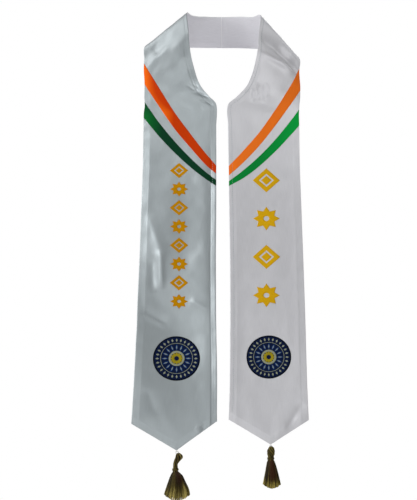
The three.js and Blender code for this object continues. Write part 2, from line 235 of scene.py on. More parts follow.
# Sections of a tassel: the drop below the hem's point, the shift sideways, and the half width and
# half depth. The skirt starts at the section NECK, and the last is its hem. Warm gives the direction
# in degrees, from the right over the back, in which the threads are browner, how far that reaches,
# and the share of the skirt's length at which it ends. Bright_from is the share at which they grow lighter.
TASSELS = {
    "left": {
        "sections": [
            (5, 4, 2.8, 2.8), (8, 5, 6, 5.8), (13, 4.6, 7.1, 6.8), (18, 1.8, 6, 6),
            (24, -1.5, 4.4, 4.6), (32, -1.7, 4.6, 4.6), (37, -1.7, 4.6, 4.6), (45, 0.4, 11, 8.5),
            (57, 1.1, 16.3, 11), (70, 1.9, 21.6, 13), (80, 1.4, 24.2, 14.5),
        ],
        "hem_arc": 9,
        "wraps": 7,
        "twist": 110,
        "warm": {"from": 300, "reach": 38, "down_to": 0.65},
        "bright_from": 0.35,
        "seed": 5,
    },
    "right": {
        "sections": [
            (3.5, 0.6, 3, 3), (6, 1, 5, 5), (10.5, 0.6, 7, 6.8), (17, 0.5, 6.9, 6.6),
            (20.5, 0.2, 6, 6), (23, 0.2, 5.2, 5.2), (27, 0.2, 5.2, 5.2), (31, 0.4, 7.2, 6.8),
            (37, 0.9, 9, 8.2), (50, 1.7, 12, 10), (72, 2.1, 16.8, 13),
        ],
        "hem_arc": 6,
        "wraps": 8,
        "twist": 190,
        "warm": {"from": 280, "reach": 42, "down_to": 0.9},
        "bright_from": 0.65,
        "seed": 8,
    },
}
NECK = 6
HEAD_SECTION = 2  # the section to which the loop leans
DROP, SHIFT, WIDE, DEEP = range(4)
SKIRT_LAYERS = ((150, 1.0), (120, 0.92), (60, 0.72), (30, 0.4))  # strands, and how far out they lie
SKIRT_THREAD = 0.55
SKIRT_LOCKS = 11
SKIRT_GROOVE = 1.6  # depth of the grooves between the skirt's locks at the hem
CORE_INSET = 1.9  # depth of the core under a tassel's surface
CORE_TAPER = 0.3  # how much deeper it lies for each millimetre below the neck
CORE_LEAST = 0.4  # radius that any inset leaves
HEAD_PLIES = 5  # threads in each wrap of a head
HEAD_THREAD = 0.62
WRAP_GROOVE = 1.3  # depth of the grooves between a head's wraps
LOOP_CORD = 0.9
LOOP_WIDTH = 6.4
LOOP_BITE = 7
BINDING_THREAD = 0.55
BINDING_TURNS = 3
BINDING_SHADE = 0.42
LOOP_SHADE = 0.6


# Meshes

def new_piece(name, points, faces, material, slot, uv=None, **values):
    """A smooth mesh from points in millimetres, riding on the sash, with its values at every point."""
    mesh = bpy.data.meshes.new(name)
    mesh.from_pydata((np.asarray(points) * 0.001).tolist(), [], faces)
    mesh.polygons.foreach_set("use_smooth", [True] * len(mesh.polygons))
    if uv is not None:
        corners = np.empty(len(mesh.loops), np.int32)
        mesh.loops.foreach_get("vertex_index", corners)
        layer = mesh.uv_layers.new(name="cloth")
        layer.data.foreach_set("uv", (np.asarray(uv) * 0.001)[corners].astype(np.float32).ravel())
    for value, numbers in values.items():
        attribute = mesh.attributes.new(value, "FLOAT", "POINT")
        attribute.data.foreach_set("value", np.asarray(numbers, np.float32))
    mesh.materials.append(material)
    mesh.validate()
    piece = bpy.data.objects.new(name, mesh)
    add_object(piece)
    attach(piece, "root")
    return piece


def thicken(top, bottom, faces):
    """A closed body between two layers of points that share their faces."""
    count = len(top)
    edges = {}
    for face in faces:
        for start, end in zip(face, face[1:] + face[:1]):
            edges[(start, end)] = True
    walls = [
        (end, start, start + count, end + count)
        for start, end in edges
        if (end, start) not in edges
    ]
    under = [tuple(index + count for index in reversed(face)) for face in faces]
    points = np.vstack([top, bottom])
    return points, outward_faces(points, list(faces) + under + walls)


def outward_faces(points, faces):
    """The faces, turned so that they point out of the body that they close."""
    volume = 0.0
    for size in {len(face) for face in faces}:
        same = np.array([face for face in faces if len(face) == size])
        origin = points[same[:, 0]]
        for corner in range(1, size - 1):
            spread = np.cross(points[same[:, corner]], points[same[:, corner + 1]])
            volume += float((origin * spread).sum())
    return faces if volume > 0 else [tuple(reversed(face)) for face in faces]


def grid_faces(rows, columns, closed=False):
    """Faces of a grid of points, its columns joined into rings where it is closed."""
    faces = []
    for row in range(rows - 1):
        for column in range(columns if closed else columns - 1):
            beside = (column + 1) % columns
            here, below = row * columns, (row + 1) * columns
            faces.append((here + column, below + column, below + beside, here + beside))
    return faces


def joined(parts):
    """Several bodies as one list of points and faces."""
    points, faces, count = [], [], 0
    for part_points, part_faces in parts:
        points.append(part_points)
        faces.extend(tuple(index + count for index in face) for face in part_faces)
        count += len(part_points)
    return np.vstack(points), faces


def tubes(paths, radius, sides, reference, turns=0.0, lobes=0.0, closed=False):
    """Tubes along many paths at once, paths[strand, step]. Lobes make each a twisted pair of plies."""
    paths = np.asarray(paths, float)
    strands, steps = paths.shape[:2]
    if closed:
        tangent = np.roll(paths, -1, axis=1) - np.roll(paths, 1, axis=1)
    else:
        tangent = np.gradient(paths, axis=1)
    tangent /= np.linalg.norm(tangent, axis=2, keepdims=True)
    across = np.cross(tangent, reference)
    across /= np.linalg.norm(across, axis=2, keepdims=True)
    over = np.cross(across, tangent)
    angle = np.arange(sides) * 2 * math.pi / sides
    turn = np.linspace(0, 2 * math.pi, steps, endpoint=not closed)[None, :] * np.reshape(turns, (-1, 1))
    reach = np.broadcast_to(radius, (strands, steps))[..., None]
    reach = reach * (1 + lobes * np.cos(2 * (angle - turn[..., None])))
    ring = (
        paths[:, :, None]
        + across[:, :, None] * (reach * np.cos(angle))[..., None]
        + over[:, :, None] * (reach * np.sin(angle))[..., None]
    )
    points = ring.reshape(-1, 3)
    single = grid_faces(steps, sides, closed=True)
    if closed:
        last = (steps - 1) * sides
        single += [(last + k, k, (k + 1) % sides, last + (k + 1) % sides) for k in range(sides)]
    else:
        single += [tuple(range(sides)), tuple(range(steps * sides - 1, (steps - 1) * sides - 1, -1))]
    starts = range(0, strands * steps * sides, steps * sides)
    every = [tuple(start + index for index in face) for start in starts for face in single]
    return points, outward_faces(points, every)


# The bands

def smooth_step(low, high, value):
    share = np.clip((value - low) / (high - low), 0, 1)
    return share * share * (3 - 2 * share)


class Curve:
    """A smooth curve through rows of values at unevenly spaced stations."""

    def __init__(self, stations, values):
        self.stations = np.asarray(stations, float)
        self.values = np.asarray(values, float)
        order = np.arange(len(self.stations))
        before, after = np.maximum(order - 1, 0), np.minimum(order + 1, len(order) - 1)
        run = self.stations[after] - self.stations[before]
        self.slopes = (self.values[after] - self.values[before]) / run[:, None]

    def __call__(self, at):
        index = np.clip(np.searchsorted(self.stations, at) - 1, 0, len(self.stations) - 2)
        span = (self.stations[index + 1] - self.stations[index])[..., None]
        t = (at - self.stations[index])[..., None] / span
        first, rise = self.values[index], self.values[index + 1] - self.values[index]
        start, end = self.slopes[index] * span, self.slopes[index + 1] * span
        return first + t * (start + t * (3 * rise - 2 * start - end + t * (start + end - 2 * rise)))


class Waves:
    """Soft irregular undulations, as a sum of waves with fixed random directions."""

    def __init__(self, seed, count, shortest, longest, height):
        random = np.random.default_rng(seed)
        self.lengths = random.uniform(shortest, longest, count)
        self.angles = random.uniform(0, math.pi, count)
        self.phases = random.uniform(0, 2 * math.pi, count)
        self.height = height / math.sqrt(count)

    def __call__(self, along, sideways):
        total = 0.0
        for length, angle, phase in zip(self.lengths, self.angles, self.phases):
            run = along * math.cos(angle) + sideways * math.sin(angle)
            total += np.sin(run * 2 * math.pi / length + phase)
        return total * self.height


class Band:
    """One half of the sash. Places on it are a distance from the centre back and a share across."""

    def __init__(self, table):
        self.name, self.side, self.point = table["name"], table["side"], table["point"]
        self.strips = table["strips"]
        halves = (section[1:4] if self.side < 0 else section[4:] for section in SECTIONS)
        rows = np.array([[*inner, *outer, bow] for inner, outer, bow in halves], float)
        middles = (rows[:, INNER] + rows[:, OUTER]) / 2
        steps = np.linalg.norm(np.diff(middles, axis=0), axis=1)
        stations = np.concatenate([[0], np.cumsum(steps)])
        # The section past the centre back keeps the band square to the other half.
        mirrored = rows[1].copy()
        mirrored[[INNER.start, OUTER.start]] *= -1
        self.curve = Curve(np.concatenate([[-stations[1]], stations]), np.vstack([mirrored, rows]))
        self.length = stations[-1]
        self.ridge = stations[RIDGE_SECTION]
        self.folds = [dict(zip(FOLD_COLUMNS, fold)) for fold in table["folds"]]
        self.slow = Waves(table["seed"], *SLOW_WAVES, table["waves"])
        self.quick = Waves(table["seed"] + 1, *QUICK_WAVES, QUICK_HEIGHT)
        self.creases = []
        for where in ("front", "back"):
            for values in table[where + "_creases"]:
                crease = dict(zip(CREASE_COLUMNS, values))
                ends = np.array([crease["start"], crease["end"]], float)
                at, across = self.locate(ends[:, 0], ends[:, 1], where)
                crease["from"], crease["to"] = np.stack([at, across * self.width(at)], axis=1)
                self.creases.append(crease)

    def width(self, at):
        values = self.curve(np.asarray(at, float))
        return np.linalg.norm(values[..., OUTER] - values[..., INNER], axis=-1)

    def flat(self, at, across):
        values = self.curve(at)
        return values[..., INNER] * (1 - across[..., None]) + values[..., OUTER] * across[..., None]

    def outward(self, surface, at, across):
        lengthwise = surface(at + STEP_ALONG, across) - surface(at - STEP_ALONG, across)
        crosswise = surface(at, across + STEP_ACROSS) - surface(at, across - STEP_ACROSS)
        normal = -self.side * np.cross(crosswise, lengthwise)
        normal[..., 0] = np.where(at == 0, 0, normal[..., 0])
        return normal / np.linalg.norm(normal, axis=-1, keepdims=True)

    def cut(self, at, across):
        """The middle of the cloth with its broad folds, as the solid has it."""
        width = self.width(at)
        lift = self.curve(at)[..., BOW] * 4 * across * (1 - across)
        for fold in self.folds:
            turn = math.radians(fold["turn"])
            along, sideways = at - fold["at"], (across - fold["across"]) * width
            lengthwise = (along * math.cos(turn) + sideways * math.sin(turn)) / fold["length"]
            crosswise = (sideways * math.cos(turn) - along * math.sin(turn)) / fold["width"]
            lift = lift + fold["height"] * np.exp(-(lengthwise**2) - crosswise**2)
        place = self.flat(at, across) + self.outward(self.flat, at, across) * lift[..., None]
        to_hem = np.maximum(0, 1 - (self.length - at) / POINT_REACH)
        beside = np.where(across < self.point["across"], self.point["across"], 1 - self.point["across"])
        nearness = 1 - np.abs(across - self.point["across"]) / beside
        place[..., 2] -= self.point["drop"] * to_hem**2 * nearness
        return place

    def wrinkles(self, at, across):
        """Height of the small creases and undulations over the cut surface."""
        sideways = across * self.width(at)
        lift = self.slow(at, sideways) + self.quick(at, sideways)
        for crease in self.creases:
            run = crease["to"] - crease["from"]
            length = np.linalg.norm(run)
            past, beside = at - crease["from"][0], sideways - crease["from"][1]
            along = (past * run[0] + beside * run[1]) / length
            off = (past * run[1] - beside * run[0]) / length
            middle = np.clip(2 * along / length - 1, -1, 1)
            taper = (1 - middle**4) ** 2
            lift = lift + crease["height"] * taper / np.cosh(off / crease["width"] * CREASE_FALL)
        for edge, distance in self.edge_distances(at, across).items():
            back, step = self.strips[edge]
            inward = STRIP_WIDTH - distance
            turned = back * (inward + np.hypot(inward, STRIP_BLEND)) / (2 * STRIP_WIDTH)
            stepped = step * smooth_step(-STRIP_STEP / 2, STRIP_STEP / 2, inward)
            lift = lift - (turned + stepped) * smooth_step(*STRIP_START, at)
        return lift * smooth_step(0, SEAM_CALM, at)

    def draped(self, at, across):
        lift = self.wrinkles(at, across)[..., None]
        return self.cut(at, across) + self.outward(self.cut, at, across) * lift

    def edge_distances(self, at, across):
        """Distances in millimetres to the inner edge, the outer edge and the hem."""
        here, back, ahead = (self.curve(at + step) for step in (0, -STEP_ALONG, STEP_ALONG))
        row = here[..., OUTER] - here[..., INNER]
        width = np.linalg.norm(row, axis=-1)
        found = {}
        for edge, share, columns in (("inner", across, INNER), ("outer", 1 - across, OUTER)):
            run = ahead[..., columns] - back[..., columns]
            sine = np.linalg.norm(np.cross(row, run), axis=-1) / (width * np.linalg.norm(run, axis=-1))
            found[edge] = share * width * sine
        hem = np.full(np.broadcast_shapes(np.shape(at), np.shape(across)), FAR)
        place = self.cut(at, across)
        end = np.full(1, self.length)
        tip = self.cut(end, np.full(1, self.point["across"]))[0]
        for share, half in ((0.0, across < self.point["across"]), (1.0, across >= self.point["across"])):
            corner = self.cut(end, np.full(1, share))[0]
            run = (tip - corner)[[0, 2]]
            off = place[..., [0, 2]] - corner[[0, 2]]
            distance = np.abs(off[..., 0] * run[1] - off[..., 1] * run[0]) / np.linalg.norm(run)
            hem = np.where(half, distance, hem)
        found["hem"] = np.where(self.length - at < POINT_REACH, hem, FAR)
        return found

    def top_offset(self, at, across):
        """Height of the outer surface over the cloth's middle, with rolled edges and a sewn groove."""
        edges = self.edge_distances(at, across)
        near = np.minimum(np.minimum(edges["inner"], edges["outer"]), edges["hem"])
        roll = np.clip(near / EDGE_ROLL, 0, 1)
        share = EDGE_LEAST + (1 - EDGE_LEAST) * np.sqrt(1 - (1 - roll) ** 2)
        off_line = (edges["inner"] - STITCH_INSET) / STITCH_GROOVE["width"]
        groove = -STITCH_GROOVE["depth"] * np.exp(-(off_line**2))
        seam = 1 - SEAM_GROOVE["share"] * np.exp(-((at / SEAM_GROOVE["width"]) ** 2))
        return GAP / 2 + CLOTH * share * seam + groove

    def on_face(self, at, across, lift=0.0):
        return self.on_side(at, across, self.top_offset(at, across) + lift)

    def on_side(self, at, across, offset):
        place = self.draped(at, across) + self.outward(self.draped, at, across) * offset[..., None]
        return self.kept_apart(at, place)

    def kept_apart(self, at, place):
        """The two halves meet at the centre back without crossing it."""
        least = GAP / 2 + np.asarray(at) * SEAM_SLOPE
        out = place[..., 0] * self.side
        out = np.where(at < SEAM_REACH, np.maximum(out, least), out)
        place[..., 0] = self.side * np.where(at == 0, GAP / 2, out)
        return place

    def locate(self, x, z, where):
        """Distance along and place across of the points seen from the front at x and z."""
        low, high = (self.ridge, self.length) if where == "front" else (0, self.ridge)
        step_at, step_across, most_steps, least, rounds = 0.1, 0.001, 300, 0.001, 8
        rows, columns = np.meshgrid(np.linspace(low, high, 160), np.linspace(0, 1, 33), indexing="ij")
        grid = self.cut(rows, columns)[..., [0, 2]].reshape(-1, 2)
        target = np.stack([x, z], axis=-1)
        nearest = ((grid[None] - target[:, None]) ** 2).sum(-1).argmin(1)
        at, across = rows.ravel()[nearest], columns.ravel()[nearest]
        for _ in range(rounds):
            here = self.cut(at, across)[..., [0, 2]]
            by_at = self.cut(at + step_at, across)[..., [0, 2]] - here
            by_across = self.cut(at, across + step_across)[..., [0, 2]] - here
            miss = target - here
            scale = by_at[:, 0] * by_across[:, 1] - by_at[:, 1] * by_across[:, 0]
            ahead = (miss[:, 0] * by_across[:, 1] - miss[:, 1] * by_across[:, 0]) / scale
            aside = (by_at[:, 0] * miss[:, 1] - by_at[:, 1] * miss[:, 0]) / scale
            at = at + step_at * np.clip(ahead, -most_steps, most_steps)
            across = across + step_across * np.clip(aside, -most_steps, most_steps)
            at, across = np.clip(at, low, high), np.clip(across, least, 1 - least)
        return at, across


def spread_rows(band, step):
    """Distances of a cloth's rows from the centre back, close together at both ends."""
    start = [0, 0.5, 1.1, 2.0, 3.4, 5.5, 7.5, 8.6, 9.4, 10.2, 11.0, 12.0]
    end = [14, 13.2, 12.4, 11.6, 10.8, 10, 9, 7.5, 5.8, 4, 2.4, 1.3, 0.8, 0.4, 0.15, 0]
    middle = np.linspace(start[-1], band.length - end[0], int((band.length - (start[-1] + end[0])) / step))
    return np.concatenate([start, middle[1:], band.length - np.array(end[1:])])


def spread_columns(band, step):
    """Places across of a cloth's columns, close together at the edges, with one at the hem's point."""
    edge = [0, 0.001, 0.003, 0.006, 0.0105, 0.018, 0.03, 0.042, 0.054, 0.064]
    edge = np.array(edge + [0.07, 0.075, 0.08, 0.085, 0.09, 0.096, 0.103])
    half = int(EVEN_WIDTH / step)
    first = np.linspace(edge[-1], band.point["across"], half + 1)
    second = np.linspace(band.point["across"], 1 - edge[-1], half + 1)
    return np.concatenate([edge[:-1], first, second[1:], 1 - edge[-2::-1]])


# Materials

def linear(code):
    """The linear red, green, blue and alpha of a #rrggbb colour."""
    shares = [int(code[place : place + 2], 16) / 255 for place in (1, 3, 5)]
    return (*(s / 12.92 if s <= 0.04045 else ((s + 0.055) / 1.055) ** 2.4 for s in shares), 1)


class Look:
    """A node material that is being put together."""

    def __init__(self, name, **sockets):
        self.material = bpy.data.materials.new(name)
        self.material.use_nodes = True
        self.tree = self.material.node_tree
        self.shader = self.tree.nodes["Principled BSDF"]
        for socket, value in sockets.items():
            self.shader.inputs[socket.replace("_", " ")].default_value = value

    def node(self, kind, inputs=(), **settings):
        made = self.tree.nodes.new("ShaderNode" + kind)
        for name, value in settings.items():
            setattr(made, name, value)
        for name, value in dict(inputs).items():
            if isinstance(value, bpy.types.NodeSocket):
                self.tree.links.new(value, made.inputs[name])
            else:
                made.inputs[name].default_value = value
        return made

    def noise(self, vector, scale, detail=2.0, rough=0.5):
        inputs = {"Vector": vector, "Scale": scale, "Detail": detail, "Roughness": rough}
        return self.node("TexNoise", inputs).outputs["Fac"]

    def between(self, factor, low, high, least=0.0, most=1.0):
        """A number from low to high as the factor goes from least to most, the node's inputs 1 to 4."""
        inputs = {"Value": factor, 1: least, 2: most, 3: low, 4: high}
        return self.node("MapRange", inputs).outputs["Result"]

    def mixed(self, factor, first, second):
        ramp = self.node("ValToRGB", {"Fac": factor})
        ramp.color_ramp.elements[0].color = first
        ramp.color_ramp.elements[1].color = second
        return ramp.outputs["Color"]

    def blend(self, factor, first, second):
        inputs = {"Fac": factor, "Color1": first, "Color2": second}
        return self.node("MixRGB", inputs).outputs["Color"]

    def scaled(self, vector, x_scale, y_scale):
        inputs = {"Vector": vector, "Scale": (x_scale, y_scale, 1)}
        return self.node("Mapping", inputs).outputs["Vector"]

    def times(self, colour, factor):
        made = self.node("VectorMath", {0: colour, 1: factor}, operation="MULTIPLY")
        return made.outputs["Vector"]

    def maths(self, operation, first, second):
        return self.node("Math", {0: first, 1: second}, operation=operation).outputs["Value"]

    def finish(self, colour, roughness, height, distance, strength):
        link = self.tree.links.new
        link(colour, self.shader.inputs["Base Color"])
        link(roughness, self.shader.inputs["Roughness"])
        bump = self.node("Bump", {"Height": height, "Distance": distance, "Strength": strength})
        link(bump.outputs["Normal"], self.shader.inputs["Normal"])
        return self.material


def shades(code, change):
    return tuple(min(1, value * change) for value in linear(code)[:3]) + (1,)


def satin(name, code, sheen=0.1, roughness=0.42, mottle=0.05, gloss=0.8, faded=None, lustre=0.0):
    """Satin with a fine warp, broken by its binding points, and soft unevenness of the dye.

    Lustre is the share of a metal's reflection, which makes shallow slopes show as light and dark.
    Faded gives two distances from the inner edge, in metres, and the colour past the second.
    """
    look = Look(name, Sheen_Weight=sheen, Sheen_Roughness=0.45, Specular_IOR_Level=gloss, Metallic=lustre)
    cloth = look.node("UVMap", uv_map="cloth").outputs["UV"]
    # The scales give threads or flecks a metre, across the band and along it.
    inputs = {"Vector": look.scaled(cloth, 1000, 1000), "Scale": 0.9, "Distortion": 0.6, "Detail": 1.0}
    warp = look.node("TexWave", inputs, bands_direction="X").outputs["Fac"]
    slub = look.noise(look.scaled(cloth, 1600, 60), 1.0)
    binding = look.noise(look.scaled(cloth, 1400, 1100), 1.0)
    broad = look.noise(cloth, 22.0, 3.0, 0.6)
    base = look.mixed(broad, shades(code, 1 - mottle), shades(code, 1 + mottle))
    base = look.times(base, look.between(slub, 0.955, 1.045, 0.3, 0.7))
    if faded:
        start, end, outer = faded
        sideways = look.node("SeparateXYZ", {"Vector": cloth}).outputs["X"]
        base = look.blend(look.between(sideways, 0.0, 1.0, start, end), base, linear(outer))
    fine = look.maths("ADD", look.maths("MULTIPLY", warp, 0.5), look.maths("MULTIPLY", binding, 0.5))
    rough = look.between(slub, roughness - 0.05, roughness + 0.06, 0.3, 0.7)
    return look.finish(base, rough, fine, 0.00006, 0.35)


def thread(name, dark, middle, light, metallic=0.0, roughness=0.65, warm=None):
    """Twisted thread: each strand takes its own shade from dark to light, browner where it is warm."""
    look = Look(name, Metallic=metallic, Sheen_Weight=0.03, Sheen_Roughness=0.4, Specular_IOR_Level=0.18)
    shade = look.node("Attribute", attribute_name="shade").outputs["Fac"]
    place = look.node("TexCoord").outputs["Object"]
    speck = look.noise(place, 900.0)
    factor = look.maths("ADD", shade, look.between(speck, -0.14, 0.14, 0.3, 0.7))
    ramp = look.node("ValToRGB", {"Fac": factor})
    ramp.color_ramp.elements[0].color = linear(dark)
    ramp.color_ramp.elements[1].color = linear(light)
    ramp.color_ramp.elements.new(0.45).color = linear(middle)
    colour = ramp.outputs["Color"]
    if warm:
        warmth = look.node("Attribute", attribute_name="warmth").outputs["Fac"]
        colour = look.blend(warmth, colour, linear(warm))
    rough = look.between(speck, roughness - 0.08, roughness + 0.1, 0.3, 0.7)
    return look.finish(colour, rough, speck, 0.0001, 0.4)


# Both faces are the same satin; the left face's darker, greener grey is painted shade.
FACES = {
    "left": satin("satin_left_painted_shade", "#A0A8AB", mottle=0.05, lustre=0.45),
    "right": satin("satin_right", "#C7C7CB", mottle=0.03, lustre=0.2),
}
LININGS = {
    name: satin(f"lining_{name}", "#DEDDE3", mottle=0.04, roughness=0.5) for name in ("left", "right")
}
PRINT = {"sheen": 0.0, "roughness": 0.6, "gloss": 0.03}
# The left inks here and below are darker than the right ones; part of that is printed colour and part the
# same painted shade as the left face.
ORANGE = {
    "left": satin("print_orange_left", "#B93604", mottle=0.06, faded=(0.08, 0.104, "#F06C12"), **PRINT),
    "right": satin("print_orange_right", "#EA7220", mottle=0.06, **PRINT),
}
GREEN = {
    "left": satin("print_green_left", "#0A3520", mottle=0.1, faded=(0.1, 0.145, "#0A6A26"), **PRINT),
    "right": satin("print_green_right", "#0A8034", mottle=0.08, faded=(0.06, 0.13, "#0A9A3C"), **PRINT),
}
GOLD = {
    "left": satin("print_gold_left", "#B27B00", mottle=0.1, **PRINT),
    "right": satin("print_gold_right", "#CC9E10", mottle=0.1, **PRINT),
}
EMBLEM_INKS = {
    name: satin(f"print_{name}", code, mottle=0.2, **PRINT)
    for name, code in (
        ("navy", "#0C1836"),
        ("dark_rim", "#060B14"),
        ("blue", "#1B3F76"),
        ("pale", "#8C917E"),
        ("emblem_gold", "#94851E"),
    )
}
SEWING = thread("sewing_thread", "#858C90", "#9CA3A7", "#B2B8BB")
CORD = thread("pale_cord", "#B9BAB6", "#D4D4CF", "#ECECE8")
METALLIC = {
    "left": thread("metallic_left", "#0E0A04", "#4B4014", "#CDBC6C", 0.3, 0.4, warm="#2C1206"),
    "right": thread("metallic_right", "#0E0A05", "#40360F", "#B3A250", 0.3, 0.4, warm="#381708"),
}
METALLIC_CORE = thread("metallic_core", "#140F07", "#221A0C", "#2E2412", 0.2, 0.6)


# Cloth pieces

BANDS = {table["name"]: Band(table) for table in (LEFT, RIGHT)}


def cloth_piece(band, name, material, slot, node):
    """The face or the lining of one band, its outer side textured and its inner side plain."""
    face = slot == "face_satin"
    step = FACE_STEP if face else LINING_STEP
    rows, columns = spread_rows(band, step * ROW_STRETCH), spread_columns(band, step)
    at, across = rows[:, None], columns[None, :]
    inside = np.full((len(rows), len(columns)), GAP / 2)
    if face:
        top, bottom = band.on_face(at, across), band.on_side(at, across, inside)
    else:
        pressed = PRESSED_SEAM["height"] if band.side > 0 else 0.0
        pressed = pressed * (1 - smooth_step(*PRESSED_SEAM["end"], at))
        top = band.on_side(at, across, -band.top_offset(at, across) - pressed)
        bottom = band.on_side(at, across, -inside)
    points, faces = thicken(top.reshape(-1, 3), bottom.reshape(-1, 3), grid_faces(len(rows), len(columns)))
    uv = np.stack([across * band.width(at), at + 0 * across], axis=-1).reshape(-1, 2)
    piece = new_piece(name, points, faces, material, slot, uv=np.vstack([uv, uv]))
    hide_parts(node)
    return piece


def printed(name, band, at, across, faces, material, slot, lift=PRINT_LIFT):
    """A thin closed print that lies on a face, through points given on the band."""
    top = band.on_face(at, across, lift)
    bottom = band.on_face(at, across, -PRINT_DEPTH)
    points, faces = thicken(top, bottom, faces)
    uv = np.stack([across * band.width(at), at], axis=-1)
    return new_piece(name, points, faces, material, slot, uv=np.vstack([uv, uv]))


def crossing(band, across, line):
    """Distance from the centre back at which each column crosses a line given as Z over X."""
    nearest, furthest, halvings = 20.0, 420.0, 26
    low = np.full(across.shape, band.ridge + nearest)
    high = np.full(across.shape, band.ridge + furthest)
    for _ in range(halvings):
        middle = (low + high) / 2
        place = band.cut(middle, across)
        above = place[..., 2] > line(place[..., 0])[..., 0]
        low, high = np.where(above, middle, low), np.where(above, high, middle)
    return (low + high) / 2


def stripe(band, name, table, material, slot):
    rows = np.array(table, float)
    upper, lower = (Curve(rows[:, 0], rows[:, [column]]) for column in (1, 2))
    columns = spread_columns(band, STRIPE_STEP)[1:-1]
    start, end = crossing(band, columns, upper), crossing(band, columns, lower)
    steps = 15
    share = np.linspace(0, 1, steps)[:, None]
    at = start * (1 - share) + end * share
    across = np.broadcast_to(columns, at.shape)
    faces = grid_faces(steps, len(columns))
    return printed(name, band, at.ravel(), across.ravel(), faces, material, slot)


# Flat shapes for the prints, seen from the front and centred on 0, 0

def spread_shape(outer, inner, around, steps):
    """A shape between two outlines, each a radius for every angle, or a full one where inner is None."""
    angle = np.arange(around) * 2 * math.pi / around
    far = np.broadcast_to(outer(angle), angle.shape)
    near = np.zeros(around) if inner is None else np.broadcast_to(inner(angle), angle.shape)
    shares = np.linspace(0, 1, steps + 1)
    if inner is None:
        shares = shares[1:]
    radius = near * (1 - shares[:, None]) + far * shares[:, None]
    points = np.stack([radius * np.cos(angle), radius * np.sin(angle)], axis=-1).reshape(-1, 2)
    faces = grid_faces(len(shares), around, closed=True)
    if inner is None:
        centre = len(points)
        points = np.vstack([points, [[0, 0]]])
        faces += [(centre, k, (k + 1) % around) for k in range(around)]
    return points, faces


def circle(radius):
    return lambda angle: np.full(np.shape(angle), float(radius))


def lozenge(wide, high):
    return lambda angle: 1 / (np.abs(np.cos(angle)) / wide + np.abs(np.sin(angle)) / high)


def star(points, far, near):
    """Outline of a star with straight sides."""
    half = math.pi / points

    def radius(angle):
        turn = np.abs((angle + half) % (2 * half) - half)
        return far * near * math.sin(half) / (far * np.sin(turn) + near * np.sin(half - turn))

    return radius


def placed(shape, x=0.0, z=0.0, wide=1.0, high=1.0, turn=0.0):
    points, faces = shape
    cosine, sine = math.cos(turn), math.sin(turn)
    turned = points @ np.array([[cosine, sine], [-sine, cosine]])
    return turned * (wide, high) + (x, z), faces


def print_shapes(name, band, shapes, material, slot, lift=PRINT_LIFT):
    points, faces = joined(shapes)
    at, across = band.locate(points[:, 0], points[:, 1], "front")
    return printed(name, band, at, across, faces, material, slot, lift)


def gold_marks(band, table, material):
    """Marks one below another, in turn a lozenge in an open one and an eight-pointed star with a hole."""
    border = spread_shape(lozenge(1, 1), lozenge(0.55, 0.55), 48, 5)
    lozenges = [border, spread_shape(lozenge(0.38, 0.38), None, 24, 3)]
    stars = [spread_shape(star(8, 0.98, 0.64), circle(0.2), 64, 5)]
    size = {"wide": table["half_width"], "high": table["half_height"]}
    shapes = [
        placed(shape, table["x"], table["top"] + number * table["step"], **size)
        for number in range(table["count"])
        for shape in (stars if number % 2 else lozenges)
    ]
    return print_shapes(f"gold_marks_{band.name}", band, shapes, material, "gold_print")


def emblem(band, table):
    """A round emblem: a dark rim, a band of small lozenges, a ring of petals and a gold star.

    Its radii and sizes are shares of the emblem's half width and half height.
    """

    def around(shape, count, radius, wide, high):
        made = []
        for number in range(count):
            angle = math.pi / 2 + 2 * math.pi * number / count
            points, faces = placed(placed(shape, wide=wide, high=high), turn=angle)
            out = (radius * math.cos(angle), radius * math.sin(angle))
            made.append(placed((points + out, faces), **table))
        return made

    small = spread_shape(lozenge(1, 1), None, 12, 2)
    petal = spread_shape(star(2, 1, 0.5), None, 16, 3)
    ground = [placed(spread_shape(circle(0.965), None, 96, 17), **table)]
    rim = [placed(spread_shape(circle(1), circle(0.95), 120, 2), **table)]
    field = around(petal, 16, 0.5, 0.155, 0.11)
    rings = [
        placed(spread_shape(circle(0.69), circle(0.67), 96, 1), **table),
        placed(spread_shape(circle(0.34), circle(0.25), 72, 2), **table),
        *around(small, 28, 0.82, 0.08, 0.045),
        *around(petal, 16, 0.5, 0.1, 0.045),
    ]
    rosette = [placed(spread_shape(star(12, 0.29, 0.21), circle(0.1), 48, 3), **table)]
    layers = (
        ("ground", ground, "navy", "navy_print", 0.0),
        ("rim", rim, "dark_rim", "navy_print", 0.06),
        ("petals", field, "blue", "blue_print", 0.06),
        ("rings", rings, "pale", "gold_print", 0.1),
        ("star", rosette, "emblem_gold", "gold_print", 0.1),
    )
    return [
        print_shapes(f"emblem_{part}_{band.name}", band, shapes, EMBLEM_INKS[ink], slot, PRINT_LIFT + raised)
        for part, shapes, ink, slot, raised in layers
    ]


def topstitching(band):
    """Stitches along the inner edge, each a short thread that dips into the cloth at both ends."""
    places = np.arange(STITCH_ENDS[0], band.length - STITCH_ENDS[1], STITCH_STEP)
    first_guess, rounds = 0.05, 6
    middle = np.full(places.shape, first_guess)
    for _ in range(rounds):
        inner = band.edge_distances(places, middle)["inner"]
        middle = middle * STITCH_INSET / inner
    keep = band.edge_distances(places, middle)["hem"] > STITCH_INSET
    places, middle = places[keep], middle[keep]
    share = np.linspace(-0.5, 0.5, 7)  # along one stitch
    at = places[:, None] + share * STITCH_LENGTH
    across = np.broadcast_to(middle[:, None], at.shape)
    rise = STITCH_RADIUS * 0.7 - 0.75 * (2 * share) ** 4
    lift = np.broadcast_to(rise, at.shape)
    paths = band.on_face(at.ravel(), across.ravel(), lift.ravel()).reshape(*at.shape, 3)
    reference = band.outward(band.cut, at, across)
    points, faces = tubes(paths, STITCH_RADIUS, 6, reference)
    random = np.random.default_rng(3)
    shade = np.repeat(random.uniform(0.3, 0.7, len(places)), len(points) // len(places))
    return new_piece(f"topstitching_{band.name}", points, faces, SEWING, "sewing_thread", shade=shade)


